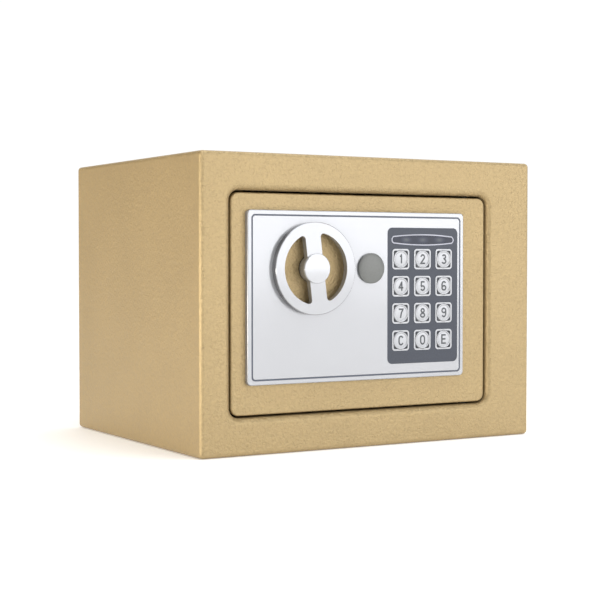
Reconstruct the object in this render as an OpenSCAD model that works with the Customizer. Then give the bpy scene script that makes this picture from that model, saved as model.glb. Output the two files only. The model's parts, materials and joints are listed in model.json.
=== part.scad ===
// Small electronic room safe: welded sheet-steel cabinet, hinged plate door, two live bolts
// thrown by a rotary knob, keypad, emergency key lock under a cap, and a battery tray inside.
// Frame: origin at the centre of the cabinet base, +X right, +Y to the back, +Z up.

/* [Cabinet] */
// Outside width
cabinet_w = 230; // [220:1:240]
// Outside depth, front face to back face
cabinet_d = 178; // [165:1:200]
// Outside height
cabinet_h = 170; // [166:1:175]
// Sheet thickness of the cabinet
sheet_t = 1.5; // [1.2:0.1:2]
// Outside bend radius of the front edges
edge_r = 2.5; // [2:0.5:3]
// Width of the frame to the left of the door opening
stile_l = 18.7; // [17:0.1:20]
// Height of the frame above and below the door opening
rail_h = 21.3; // [20:0.1:23]
// Radius of the lip rolled into the door opening
lip_r = 3.5; // [3:0.5:4]
// Depth of the lip flange behind the front face
lip_d = 12; // [11:0.5:13]
// Diameter of the fixing holes in the base and the back
fixing_d = 10; // [8:0.5:11]
// Distance between the two fixing holes
fixing_pitch = 120; // [100:5:140]
// Thickness of the floor mat
mat_t = 2.5; // [2:0.5:4]

/* [Door] */
// Door width
door_w = 176.3; // [175.5:0.1:177]
// Door height
door_h = 125; // [124:0.1:126]
// Door plate thickness
door_t = 3; // [2.5:0.5:3.5]
// Gap between the door and its opening
door_gap = 1.15; // [1.1:0.05:1.5]
// Corner radius of the door
door_r = 5; // [4:0.5:7]
// How far the door sits behind the front face
door_inset = 2; // [1.5:0.5:2.5]
// Hinge axis, in from the right edge of the door
hinge_in = 12; // [12:0.5:14]
// Hinge axis, behind the front of the door
hinge_back = 6; // [5.8:0.1:6.2]

/* [Front panel] */
// Width of the fascia
fascia_w = 149.4; // [148:0.1:150]
// Height of the fascia
fascia_h = 98.6; // [98:0.1:100]
// How far the fascia stands off the door
fascia_t = 2.8; // [2.6:0.1:3]
// Width of the keypad plate
pad_w = 51.1; // [50.5:0.1:51.5]
// Height of the keypad plate
pad_h = 80.7; // [80:0.1:81]
// Sideways distance between keys
key_pitch_x = 15.65; // [15.5:0.05:15.8]
// Upright distance between keys
key_pitch_z = 16.1; // [15.8:0.1:16.4]
// Diameter of a round key
key_d = 10.5; // [10:0.1:10.8]
// How far a key presses in
key_travel = 0.8; // [0.5:0.1:0.8]

/* [Knob and bolts] */
// Outside diameter of the knob ring
knob_d = 53; // [52:0.2:54]
// Inside diameter of the knob ring
knob_bore = 41.5; // [40:0.5:43]
// Thickness of the knob ring
knob_t = 3.8; // [3.6:0.1:4.4]
// Lean of the knob bar at rest
knob_lean = 7; // [0:1:15]
// Angle the knob turns to throw the bolts
knob_turn = 70; // [60:1:75]
// Diameter of the bolts
bolt_d = 12; // [10:0.5:12]
// Radius of the drive pin about the spindle
crank_r = 12; // [11:0.5:12]

/* [Hidden] */

$fn = 64;
eps = 0.02;

gold = [0.80, 0.69, 0.49];
silver = [0.86, 0.87, 0.89];
steel = [0.62, 0.64, 0.66];
dark = [0.36, 0.38, 0.42];
black = [0.12, 0.12, 0.13];

// Cabinet planes
front_y = -cabinet_d / 2;
back_y = cabinet_d / 2;
wrap_front_y = front_y + 12;
in_w = cabinet_w - 2 * sheet_t;
in_h = cabinet_h - 2 * sheet_t;

// Door opening and door
opening_w = door_w + 2 * door_gap;
opening_h = door_h + 2 * door_gap;
opening_r = door_r + door_gap;
door_x = -cabinet_w / 2 + stile_l + opening_w / 2;
door_z = rail_h + opening_h / 2;
door_y = front_y + door_inset;
door_back_y = door_y + door_t;
door_right = door_x + door_w / 2;
door_edge_r = 1;

// Hinge
hinge_x = door_right - hinge_in;
hinge_y = door_y + hinge_back;
pin_r = 2.5;
pin_reach = 4.5;
run_gap = 0.05;
block_w = 9;
block_h = 16;
block_y = 6.5;

// Fascia
fascia_x = door_x - 4.4;
fascia_z = door_z + 3.65;
fascia_y = door_y - fascia_t;
fascia_r = 2.5;
fascia_edge_r = 0.7;
line_in = 2.4;
line_w = 1;
line_d = 0.3;
knob_x = fascia_x - 32.35;
knob_z = fascia_z + 16.2;
knob_hole_d = 45;
lock_x = knob_x + 39.35;
lock_hole_d = 16.4;
screw_dx = 56;
screw_dz = 43;
screw_x2 = 15;

// Keypad: the plate drops into a window and rests on a ledge behind it
pad_x = fascia_x + 44.5;
pad_z = fascia_z - 0.15;
pad_r = 3.2;
pad_sink = 0.1;
pad_t = 1.6;
pad_y = fascia_y + pad_sink;
ledge_w = 46;
ledge_h = 76;
key_z0 = pad_z + 21.7;
key_x0 = pad_x - 0.4 - key_pitch_x;
key_proud = 0.7;
key_flange_t = 0.6;
key_flange_d = 11.9;
key_clear = 0.2;
key_stop_gap = 0.05;
post_r = 1.3;
frame_side = 12.1;
frame_line = 0.95;
frame_h = 0.25;
lens_w = 45;
lens_h = 6.1;
lens_z = pad_z + 33.2;
lens_bulge_r = 190;
led_pitch = 12.1;
mat_y = pad_y + pad_t + key_flange_t + key_travel + 0.2;
mat_pad_t = 1;
board_y = mat_y + mat_pad_t;
board_t = 1.6;
board_w = 43.5;
board_h = 73;

// Knob and drive
knob_lift = 0.2;
knob_y = fascia_y - knob_lift - knob_t;
hub_d = 16.2;
bar_w = 10;
window_r = 2;
spindle_r = 4;
cam_y = door_back_y + 4;
cam_t = 3;
cam_rest = knob_turn / 2;
crank_pin_r = 2.5;
crank_x = knob_x + crank_r * sin(cam_rest);
crank_z = knob_z + crank_r * cos(cam_rest);

// Bolt work: a plate that slides behind the cam, with a flange that carries both bolts
travel = 2 * crank_r * sin(cam_rest);
plate_y = door_back_y + 8.5;
plate_t = 2.5;
flange_x = door_x - 59.05;
flange_t = 2.5;
bolt_y = door_y + 17;
bolt_r = bolt_d / 2;
bolt_tip_x = door_x - door_w / 2 + 2.2;
bolt_upper_z = knob_z + 5.3;
bolt_lower_z = knob_z - 44.7;
tenon_r = 3;
slot_h = 5.6;
drive_slot_w = 5.7;
stud_r = 2.5;
stud_x = flange_x + 8;
stud_low_z = bolt_lower_z + 4;
stud_high_z = bolt_lower_z + 22;
tab_w = 6;
tab_x = flange_x + 47.5;
arm_z = bolt_lower_z + 25;
arm_h = 7;

// Solenoid under the arm: its plunger rises behind the tab once the bolts are thrown
plunger_r = 3;
sol_x = tab_x - travel + tab_w + plunger_r + 0.6;
sol_w = 20;
sol_h = 22;
sol_y0 = door_back_y + 2;
sol_d = 18;
sol_z = arm_z - 29;
collar_z = sol_z + sol_h / 2 + 4;
collar_t = 1.2;
plunger_y = plate_y + plate_t / 2;
plunger_top = arm_z - 6;
collar_r = 4.5;

// Lock case behind the door
cover_t = 1.2;
cover_x = door_x - 3.05;
cover_z = door_z + 1.05;
cover_w = 148;
cover_h = 108;
cover_back_y = door_back_y + 32;
cover_r = 4;
pillar_dx = 66;
pillar_dz = 48;
pillar_r = 3.5;
guide_x = bolt_tip_x + 4.3;
guide_t = 3;
guide_h = 74;
guide_d = 23;

// Batteries
cell_r = 7;
cell_l = 48.5;
cell_pitch = 14.4;
tray_x = cover_x + 41;
tray_z = cover_z - 14;
tray_w = 58;
tray_h = 60;
tray_d = 16.5;
tray_wall = 1.2;
tray_back_y = cover_back_y - cover_t - 0.3;
cell_y = tray_back_y - 8;
lid_w = 54;
lid_h = 56;
lid_t = 1.8;

// Key lock
lock_r = 6;
lock_z = knob_z;
lock_face_y = door_y - 1.6;
lock_end_y = door_y + 26;
plug_r = 4;
lock_cam_y = lock_end_y + 0.3;
cap_d = 17.7;
cap_t = 2;

// Reset button
reset_x = cover_x + 52;
reset_z = cover_z + 30;
reset_r = 3;

// ---------- shapes that repeat ----------

// Plane shape drawn in X and Z, thickened from y0 towards the back
module slab(y0, t) {
    translate([0, y0 + t, 0]) rotate([90, 0, 0]) linear_extrude(t) children();
}

// Rounded rectangle about its centre
module plate2(w, h, r) {
    square([w - 2 * r, h], center = true);
    square([w, h - 2 * r], center = true);
    for (sx = [-1, 1], sy = [-1, 1]) translate([sx * (w / 2 - r), sy * (h / 2 - r)]) circle(r);
}

// Cylinder along Y from y0
module rod(x, z, y0, l, r) {
    translate([x, y0 + l, z]) rotate([90, 0, 0]) cylinder(r = r, h = l);
}

// Turned part along Y: the profile is (radius, depth behind y0)
module turned(x, z, y0) {
    translate([x, y0, z]) rotate([-90, 0, 0]) rotate_extrude() children();
}

// Ring of constant section round a rounded rectangle: the profile is
// (distance outside the corner centres, depth behind y0)
module ring_sweep(x, z, y0, w, h, r) {
    translate([x, y0, z]) rotate([-90, 0, 0]) for (i = [0:3]) {
        a = i % 2 == 0 ? w / 2 - r : h / 2 - r;
        b = i % 2 == 0 ? h / 2 - r : w / 2 - r;
        rotate(90 * i) {
            translate([a, b, 0]) rotate([90, 0, 0]) linear_extrude(2 * b) children();
            translate([a, b, 0]) rotate_extrude(angle = 90) children();
        }
    }
}

// Quarter of a bent sheet: bend of outside radius r and thickness t, turning from the front
// face into a flange that runs back to depth d; it bends inwards or outwards
module bend_profile(r, t, d, reach) {
    difference() {
        translate([reach - r, r]) circle(r);
        translate([reach - r, r]) circle(r - t);
        translate([reach - 3 * r, -r]) square([2 * r, 4 * r]);
        translate([reach - 2 * r, r]) square([3 * r, 2 * r]);
    }
    translate([reach - t, r]) square([t, d - r]);
}

module fixing_holes_2d() {
    for (sx = [-1, 1]) translate([sx * fixing_pitch / 2, 0]) circle(d = fixing_d);
}

// Key number k, counted along the rows from the top left
function key_x(k) = key_x0 + (k % 3) * key_pitch_x;
function key_z(k) = key_z0 - floor(k / 3) * key_pitch_z;

// ---------- cabinet ----------

module cabinet_wrap() {
    color(gold) difference() {
        slab(wrap_front_y, back_y - wrap_front_y) translate([0, cabinet_h / 2]) difference() {
            plate2(cabinet_w, cabinet_h, edge_r);
            plate2(in_w, in_h, edge_r - sheet_t);
        }
        translate([0, 0, -1]) linear_extrude(sheet_t + 2) fixing_holes_2d();
    }
}

module front_frame() {
    face_w = cabinet_w - 2 * edge_r;
    face_h = cabinet_h - 2 * edge_r;
    lip_w = opening_w + 2 * lip_r;
    lip_h = opening_h + 2 * lip_r;
    color(gold) difference() {
        union() {
            slab(front_y, sheet_t) difference() {
                translate([0, cabinet_h / 2]) square([face_w, face_h], center = true);
                translate([door_x, door_z]) plate2(lip_w, lip_h, opening_r + lip_r);
            }
            ring_sweep(0, cabinet_h / 2, front_y, cabinet_w, cabinet_h, edge_r)
                bend_profile(edge_r, sheet_t, wrap_front_y - front_y, edge_r);
            ring_sweep(door_x, door_z, front_y, opening_w, opening_h, opening_r)
                translate([2 * opening_r, 0]) mirror([1, 0]) bend_profile(lip_r, sheet_t, lip_d, opening_r);
        }
        translate([hinge_x, hinge_y, 4]) cylinder(r = pin_r + run_gap, h = cabinet_h - 8);
    }
}

module back_panel() {
    color(gold) slab(back_y - sheet_t, sheet_t) translate([0, cabinet_h / 2]) difference() {
        plate2(in_w, in_h, edge_r - sheet_t);
        fixing_holes_2d();
    }
}

module floor_mat() {
    inset = 2;
    mat_w = in_w - 2 * inset;
    mat_l = back_y - wrap_front_y - 6;
    color(black) translate([0, wrap_front_y + 2 + mat_l / 2, sheet_t]) linear_extrude(mat_t) difference() {
        plate2(mat_w, mat_l, 4);
        translate([0, -wrap_front_y - 2 - mat_l / 2]) fixing_holes_2d();
    }
}

// ---------- door ----------

module door_plate() {
    inner_w = door_w - 2 * door_edge_r;
    inner_h = door_h - 2 * door_edge_r;
    color(gold) difference() {
        union() {
            slab(door_y, door_edge_r)
                translate([door_x, door_z]) plate2(inner_w, inner_h, door_r - door_edge_r);
            slab(door_y + door_edge_r, door_t - door_edge_r)
                translate([door_x, door_z]) plate2(door_w, door_h, door_r);
            ring_sweep(door_x, door_z, door_y, door_w, door_h, door_r)
                translate([door_r - door_edge_r, door_edge_r]) intersection() {
                    circle(door_edge_r);
                    translate([0, -door_edge_r]) square(door_edge_r);
                }
        }
        slab(door_y - 1, door_t + 2) translate([pad_x, pad_z]) plate2(ledge_w, ledge_h, 3);
        rod(knob_x, knob_z, door_y - 1, door_t + 2, spindle_r + 2);
        rod(lock_x, lock_z, door_y - 1, door_t + 2, lock_r + eps);
        fascia_screw_places() rod(0, 0, door_y - 1, door_t + 2, 1.7);
    }
}

module fascia_screw_places() {
    for (dx = [-screw_dx, screw_x2], sz = [-1, 1])
        translate([fascia_x + dx, 0, fascia_z + sz * screw_dz]) children();
}

module hinge_blocks() {
    block_dz = door_h / 2 - block_h / 2 - 2;
    color(gold) for (s = [-1, 1]) translate([hinge_x, door_back_y, door_z + s * block_dz])
        difference() {
            translate([-block_w / 2, 0, -block_h / 2]) cube([block_w, block_y, block_h]);
            translate([0, hinge_y - door_back_y, -block_h]) cylinder(r = pin_r, h = 2 * block_h);
        }
}

module hinge_pins() {
    pin_l = pin_reach + block_h + 3.4;
    color(steel) for (s = [-1, 1])
        translate([hinge_x, hinge_y, door_z + s * (door_h / 2 + pin_reach - pin_l / 2)])
            cylinder(r = pin_r, h = pin_l, center = true);
}

module fascia() {
    inner_w = fascia_w - 2 * fascia_edge_r;
    inner_h = fascia_h - 2 * fascia_edge_r;
    color(silver) difference() {
        union() {
            slab(fascia_y, fascia_edge_r)
                translate([fascia_x, fascia_z]) plate2(inner_w, inner_h, fascia_r - fascia_edge_r);
            slab(fascia_y + fascia_edge_r, fascia_t - fascia_edge_r)
                translate([fascia_x, fascia_z]) plate2(fascia_w, fascia_h, fascia_r);
            ring_sweep(fascia_x, fascia_z, fascia_y, fascia_w, fascia_h, fascia_r)
                translate([fascia_r - fascia_edge_r, fascia_edge_r]) intersection() {
                    circle(fascia_edge_r);
                    translate([0, -fascia_edge_r]) square(fascia_edge_r);
                }
        }
        slab(fascia_y - 1, 1 + line_d) translate([fascia_x, fascia_z]) difference() {
            plate2(fascia_w - 2 * line_in, fascia_h - 2 * line_in, 2.5);
            plate2(fascia_w - 2 * line_in - 2 * line_w, fascia_h - 2 * line_in - 2 * line_w, 1.7);
        }
        slab(fascia_y - 1, 1 + pad_sink + pad_t) translate([pad_x, pad_z]) plate2(pad_w, pad_h, pad_r);
        slab(fascia_y - 1, fascia_t + 2) translate([pad_x, pad_z]) plate2(ledge_w, ledge_h, 3);
        rod(knob_x, knob_z, fascia_y - 1, fascia_t + 2, knob_hole_d / 2);
        rod(lock_x, lock_z, fascia_y - 1, fascia_t + 2, lock_hole_d / 2);
        fascia_screw_places() rod(0, 0, door_y - 2, 3, 1.5 + eps);
    }
}

// Long lens outline: round ends, gently bowed above and below
module lens2(w, h) {
    intersection() {
        plate2(w, h, 2.4);
        translate([0, h / 2 - lens_bulge_r]) circle(lens_bulge_r, $fn = 180);
        translate([0, lens_bulge_r - h / 2]) circle(lens_bulge_r, $fn = 180);
    }
}

module keypad_bezel() {
    color(dark) difference() {
        union() {
            slab(pad_y, pad_t) translate([pad_x, pad_z]) plate2(pad_w - 0.1, pad_h - 0.1, pad_r);
            board_post_places() rod(0, 0, pad_y + pad_t, board_y - pad_y - pad_t, post_r);
        }
        for (k = [0:11]) rod(key_x(k), key_z(k), pad_y - 1, pad_t + 2, key_d / 2 + key_clear);
        slab(pad_y - 1, pad_t + 2) translate([pad_x, lens_z]) lens2(lens_w, lens_h);
    }
}

// The board stands on four posts that rise between the keys and through the mat
module board_post_places() {
    for (sx = [-1, 1], sz = [-1, 1])
        translate([key_x(4) + sx * key_pitch_x / 2, 0, key_z0 - (1.5 + sz) * key_pitch_z]) children();
}

module key_frames() {
    inner = frame_side - 2 * frame_line;
    color(silver) for (k = [0:11])
        slab(pad_y - frame_h, frame_h) translate([key_x(k), key_z(k)]) difference() {
            plate2(frame_side, frame_side, 1.9);
            plate2(inner, inner, 1);
            circle(key_d / 2 + key_clear);
        }
}

module led_window() {
    color([0.5, 0.5, 0.58, 0.6]) slab(pad_y - 0.1, 1.3)
        translate([pad_x, lens_z]) lens2(lens_w - 0.1, lens_h - 0.1);
}

module leds() {
    led_l = board_y - pad_y - 1.5;
    led_r = 1.5;
    color([0.8, 0.85, 0.8]) for (i = [-1:1])
        turned(pad_x + i * led_pitch, lens_z, board_y - led_l) intersection() {
            union() {
                translate([0, led_r]) square([led_r, led_l - led_r]);
                translate([0, led_r]) circle(led_r);
            }
            square([led_r, led_l]);
        }
}

module keypad_mat() {
    color(dark) difference() {
        slab(mat_y, mat_pad_t) translate([key_x(4), key_z0 - 1.5 * key_pitch_z]) plate2(board_w, 62, 2);
        board_post_places() rod(0, 0, mat_y - 1, mat_pad_t + 2, post_r + 0.2);
    }
}

module control_board() {
    color([0.1, 0.4, 0.25]) slab(board_y, board_t)
        translate([pad_x, pad_z + 1]) plate2(board_w, board_h, 1);
}

module board_chips() {
    chip_y = board_y + board_t;
    color(black) for (z = [-18, 0, 18]) translate([pad_x - 8, chip_y, pad_z + z]) cube([12, 1.8, 9]);
}

module buzzer() {
    color(black) turned(pad_x + 13, pad_z + 26, board_y + board_t) difference() {
        square([6, 6]);
        translate([0, 5]) square([1, 2]);
    }
}

module cover_openings() {
    slab(cover_back_y - 5, 10) translate([tray_x, tray_z]) plate2(lid_w + 0.6, lid_h + 0.6, 2);
    rod(reset_x, reset_z, cover_back_y - 5, 10, reset_r + run_gap);
}

module cover_corner_places() {
    for (sx = [-1, 1], sz = [-1, 1])
        translate([cover_x + sx * pillar_dx, 0, cover_z + sz * pillar_dz]) children();
}

module lock_cover() {
    wall_r = cover_r - cover_t;
    color(black) difference() {
        slab(door_back_y, cover_back_y - door_back_y)
            translate([cover_x, cover_z]) plate2(cover_w, cover_h, cover_r);
        slab(door_back_y - 1, cover_back_y - door_back_y + 1 - cover_t)
            translate([cover_x, cover_z]) plate2(cover_w - 2 * cover_t, cover_h - 2 * cover_t, wall_r);
        for (z = [bolt_lower_z, bolt_upper_z]) translate([cover_x - cover_w / 2 - 1, bolt_y, z])
            rotate([0, 90, 0]) cylinder(r = bolt_r + 0.5, h = 4);
        cover_corner_places() rod(0, 0, cover_back_y - 5, 10, 1.7);
        cover_openings();
    }
}

module cover_pillars() {
    pillar_l = cover_back_y - cover_t - door_back_y;
    color(steel) cover_corner_places() difference() {
        rod(0, 0, door_back_y, pillar_l, pillar_r);
        rod(0, 0, door_back_y + pillar_l - 8, 9, 1.5 + eps);
    }
}

module cover_screws() {
    color(steel) cover_corner_places() difference() {
        union() {
            rod(0, 0, cover_back_y - 8, 8, 1.5);
            turned(0, 0, cover_back_y) intersection() {
                translate([0, -2.4]) circle(4);
                square([3, 2]);
            }
        }
        for (a = [0, 90]) translate([0, cover_back_y + 1.5, 0]) rotate([0, a, 0])
            cube([3.2, 1.6, 0.7], center = true);
    }
}

module battery_tray() {
    color(black) translate([tray_x, 0, tray_z]) difference() {
        translate([-tray_w / 2, tray_back_y - tray_d, -tray_h / 2]) cube([tray_w, tray_d, tray_h]);
        translate([-tray_w / 2 + tray_wall, tray_back_y - tray_d + tray_wall, -tray_h / 2 + tray_wall])
            cube([tray_w - 2 * tray_wall, tray_d, tray_h - 2 * tray_wall]);
    }
}

module battery_row() {
    for (i = [0:3]) translate([tray_x, cell_y, tray_z + (i - 1.5) * cell_pitch])
        mirror([i % 2, 0, 0]) children();
}

module battery_cells() {
    color([0.55, 0.5, 0.42]) battery_row() rotate([0, 90, 0]) rotate_extrude() {
        translate([0, -cell_l / 2]) square([cell_r, cell_l]);
        translate([0, cell_l / 2]) square([2.7, 1.4]);
    }
}

module battery_contacts() {
    gap_r = tray_w / 2 - tray_wall - cell_l / 2 - 1.4;
    gap_l = tray_w / 2 - tray_wall - cell_l / 2;
    color(steel) battery_row() {
        translate([cell_l / 2 + 1.4 + gap_r / 2, 0, 0]) cube([gap_r, 8, 8], center = true);
        translate([-cell_l / 2 - gap_l, 0, 0]) rotate([0, 90, 0]) cylinder(r1 = 5, r2 = 3, h = gap_l);
    }
}

module solenoid_frame() {
    wall = 1.5;
    color(steel) translate([sol_x - sol_w / 2, sol_y0, sol_z - sol_h / 2]) difference() {
        cube([sol_w, sol_d, sol_h]);
        translate([wall, -1, wall]) cube([sol_w - 2 * wall, sol_d + 2, sol_h - 2 * wall]);
        translate([sol_w / 2, plunger_y - sol_y0, -1]) cylinder(r = plunger_r + 0.3, h = sol_h + 2);
    }
    color(steel) translate([sol_x - sol_w / 2, door_back_y, sol_z - sol_h / 2])
        cube([sol_w, sol_y0 - door_back_y, 1.5]);
}

module solenoid_coil() {
    color([0.6, 0.3, 0.15]) translate([sol_x, plunger_y, sol_z]) difference() {
        cylinder(r = 8, h = sol_h - 3, center = true);
        cylinder(r = plunger_r + 0.3, h = sol_h, center = true);
    }
}

module bolt_guides() {
    foot_w = 5;
    low_z = (bolt_upper_z + bolt_lower_z - guide_h) / 2;
    color(steel) difference() {
        union() {
            translate([guide_x, door_back_y, low_z]) cube([guide_t, guide_d, guide_h]);
            translate([guide_x - foot_w, door_back_y, low_z]) cube([foot_w + 1, 2.5, guide_h]);
        }
        for (z = [bolt_lower_z, bolt_upper_z]) translate([guide_x - 1, bolt_y, z])
            rotate([0, 90, 0]) cylinder(r = bolt_r + run_gap, h = guide_t + 2);
    }
}

module guide_studs() {
    color(steel) for (z = [stud_low_z, stud_high_z]) {
        rod(stud_x, z, door_back_y, plate_y + plate_t - door_back_y + 0.5, stud_r);
        rod(stud_x, z, plate_y + plate_t + 0.5, 1.5, stud_r + 1.8);
    }
}

module lock_body() {
    color(steel) difference() {
        union() {
            rod(lock_x, lock_z, door_y, lock_end_y - door_y, lock_r);
            rod(lock_x, lock_z, lock_face_y, door_y - lock_face_y, 7.6);
        }
        rod(lock_x, lock_z, lock_face_y - 1, lock_end_y - lock_face_y + 2, plug_r + run_gap);
    }
}

module lock_nut() {
    color(steel) difference() {
        translate([lock_x, door_back_y + 3, lock_z]) rotate([90, 0, 0]) cylinder(r = 9.5, h = 3, $fn = 6);
        rod(lock_x, lock_z, door_back_y - 1, 5, lock_r + eps);
    }
}

module spindle_bush() {
    color(black) turned(knob_x, knob_z, door_y) difference() {
        union() {
            square([spindle_r + 2, door_t]);
            translate([0, door_t]) square([spindle_r + 4, 1.2]);
        }
        square([2 * (spindle_r + run_gap), 20], center = true);
    }
}

module fascia_screws() {
    color(steel) fascia_screw_places() {
        rod(0, 0, door_y - 1.8, door_t + 1.8, 1.5);
        rod(0, 0, door_back_y, 1.6, 2.8);
    }
}

// Flat leads: control board to battery tray, and control board to solenoid
module wire_loom() {
    lead_y = board_y + board_t;
    lead_t = 1.2;
    tray_y = tray_back_y - tray_d;
    low_z = pad_z - 30;
    sol_right = sol_x + sol_w / 2;
    color([0.6, 0.1, 0.1]) translate([pad_x + 6, lead_y, low_z]) cube([6, tray_y - lead_y, lead_t]);
    color([0.15, 0.15, 0.2]) {
        translate([sol_right, lead_y + 3, low_z - 4]) cube([pad_x - 10 - sol_right, lead_t, 5]);
        translate([pad_x - 15, lead_y, low_z - 4]) cube([5, 3, 5]);
    }
}

// ---------- knob ----------

// One finger window of the knob: a half disc cut back for the bar and the hub, corners rounded
module knob_window() {
    offset(window_r, $fn = 32) offset(-window_r) difference() {
        circle(d = knob_bore, $fn = 96);
        translate([-knob_bore, -knob_bore]) square([knob_bore + bar_w / 2, 2 * knob_bore]);
        circle(d = hub_d);
    }
}

module knob() {
    edge = 0.35;
    color(silver) translate([knob_x, 0, knob_z]) rotate([0, -knob_lean, 0]) difference() {
        union() {
            turned(0, 0, knob_y) polygon([[0, 0], [knob_d / 2 - edge, 0], [knob_d / 2, edge],
                [knob_d / 2, knob_t], [0, knob_t]]);
            rod(0, 0, knob_y + knob_t, 2.6, hub_d / 2);
        }
        slab(knob_y - 1, knob_t + 2) for (s = [0, 1]) mirror([s, 0]) knob_window();
        rod(0, 0, knob_y + 2, 20, spindle_r);
    }
}

module knob_spindle() {
    color(steel) difference() {
        rod(knob_x, knob_z, knob_y + 2, cam_y + cam_t - knob_y - 2, spindle_r);
        rod(knob_x, knob_z, cam_y - 4, 20, 1.5 + eps);
    }
}

module drive_cam() {
    color(steel) difference() {
        union() {
            slab(cam_y, cam_t) hull() {
                translate([knob_x, knob_z]) circle(7);
                translate([crank_x, crank_z]) circle(4.5);
            }
            rod(crank_x, crank_z, cam_y, plate_y + plate_t + 1 - cam_y, crank_pin_r);
        }
        rod(knob_x, knob_z, cam_y - 1, cam_t + 2, spindle_r);
    }
}

module cam_screw() {
    color(steel) {
        rod(knob_x, knob_z, cam_y - 3.5, cam_t + 3.5, 1.5);
        rod(knob_x, knob_z, cam_y + cam_t, 1, 4);
    }
}

// ---------- bolt work ----------

module slide_slot(x, z) {
    slab(plate_y - 1, plate_t + 2) translate([x, z - slot_h / 2]) {
        square([travel + 0.6, slot_h]);
        translate([0, slot_h / 2]) circle(d = slot_h);
        translate([travel + 0.6, slot_h / 2]) circle(d = slot_h);
    }
}

module bolt_carriage() {
    plate_low = bolt_lower_z - 8;
    plate_top = bolt_upper_z + 14;
    drive_low = knob_z + 4.6;
    color(steel) difference() {
        union() {
            slab(plate_y, plate_t) {
                translate([flange_x, plate_low]) square([12, plate_top - plate_low]);
                translate([flange_x, plate_low]) square([28, arm_z + arm_h - plate_low]);
                translate([flange_x, arm_z]) square([tab_x + tab_w - flange_x, arm_h]);
                translate([tab_x, arm_z - 4]) square([tab_w, 4 + eps]);
                translate([flange_x, drive_low]) square([crank_x + 7 - flange_x, plate_top - drive_low]);
            }
            translate([flange_x, plate_y, plate_low]) cube([flange_t, 11, plate_top - plate_low]);
        }
        slide_slot(stud_x - 0.3, stud_low_z);
        slide_slot(stud_x - 0.3, stud_high_z);
        slab(plate_y - 1, plate_t + 2) translate([crank_x, knob_z + crank_r - 1.1])
            plate2(drive_slot_w, 8.6, drive_slot_w / 2 - 0.01);
        for (z = [bolt_lower_z, bolt_upper_z]) translate([flange_x - 1, bolt_y, z])
            rotate([0, 90, 0]) cylinder(r = tenon_r + eps, h = flange_t + 2);
    }
}

module bolt(z) {
    nose = 1;
    bolt_l = flange_x - bolt_tip_x;
    color(silver) translate([bolt_tip_x, bolt_y, z]) rotate([0, 90, 0]) rotate_extrude() {
        polygon([[0, 0], [bolt_r - nose, 0], [bolt_r, nose], [bolt_r, bolt_l], [tenon_r, bolt_l],
            [tenon_r, bolt_l + flange_t + 0.6], [0, bolt_l + flange_t + 0.6]]);
    }
}

module bolt_upper() {
    bolt(bolt_upper_z);
}

module bolt_lower() {
    bolt(bolt_lower_z);
}

// ---------- key lock, cap, reset button, battery lid, solenoid plunger ----------

module lock_plug() {
    color([0.75, 0.66, 0.4]) difference() {
        rod(lock_x, lock_z, lock_face_y + 0.2, lock_cam_y + 1.5 - lock_face_y - 0.2, plug_r);
        translate([lock_x, lock_face_y + 4, lock_z]) cube([1.4, 10, 5.6], center = true);
        translate([lock_x + 0.6, lock_face_y + 4, lock_z + 1.2]) cube([1.6, 10, 1], center = true);
        rod(lock_x, lock_z, lock_cam_y - 4, 8, 1.5 + eps);
    }
}

module lock_cam() {
    color(steel) {
        difference() {
            slab(lock_cam_y, 1.5) hull() {
                translate([lock_x, lock_z]) circle(6.5);
                translate([lock_x, lock_z - 14]) circle(4);
            }
            rod(lock_x, lock_z, lock_cam_y - 1, 4, plug_r);
        }
        rod(lock_x, lock_z, lock_cam_y + 1.5, 1.4, 5);
        rod(lock_x, lock_z, lock_cam_y - 3.5, 5, 1.5);
    }
}

// Grey cap that hides the key lock: slightly domed, with a spigot that plugs the fascia hole
module lock_cap() {
    dome_r = 60;
    spigot_r = lock_hole_d / 2 - 0.1;
    color([0.59, 0.6, 0.58]) turned(lock_x, lock_z, fascia_y - cap_t) difference() {
        union() {
            intersection() {
                translate([0, dome_r]) circle(dome_r, $fn = 180);
                square([cap_d / 2, cap_t]);
            }
            translate([spigot_r - 1.2, cap_t - 0.1]) square([1.2, 1]);
        }
        translate([cap_d / 2 - 0.25, -1]) square([1, 1.4]);
    }
}

module reset_button() {
    button_back = 5;
    color([0.75, 0.1, 0.1]) {
        rod(reset_x, reset_z, cover_back_y - cover_t - button_back, button_back + cover_t + 1.5, reset_r);
        rod(reset_x, reset_z, cover_back_y - cover_t - 1.6, 1.2, reset_r + 1.6);
    }
}

module battery_lid() {
    rib_w = 26;
    color(black) {
        slab(cover_back_y - lid_t + 0.6, lid_t) translate([tray_x, tray_z]) plate2(lid_w, lid_h, 2);
        for (i = [0:4]) translate([tray_x - rib_w / 2, cover_back_y + 0.6, tray_z + lid_h / 2 - 6 - 2.4 * i])
            cube([rib_w, 0.7, 1.1]);
    }
}

module solenoid_plunger() {
    low = sol_z - sol_h / 2 - 2;
    color(steel) translate([sol_x, plunger_y, 0]) {
        translate([0, 0, low]) cylinder(r = plunger_r, h = plunger_top - low);
        translate([0, 0, collar_z]) cylinder(r = collar_r, h = collar_t);
    }
}

// Spring that lifts the plunger collar off the solenoid frame, held squeezed while unlocked:
// a stack of flat rings joined by a thin sleeve
module solenoid_spring() {
    low = sol_z + sol_h / 2;
    spring_l = collar_z - low;
    turns = 4;
    color(silver) translate([sol_x, plunger_y, low]) rotate_extrude() {
        translate([plunger_r + 0.4, 0]) square([0.3, spring_l]);
        for (i = [0:turns - 1]) translate([plunger_r + 0.4, (i + 0.2) * spring_l / turns]) square([0.8, 0.6]);
    }
}

// ---------- keys ----------

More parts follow.
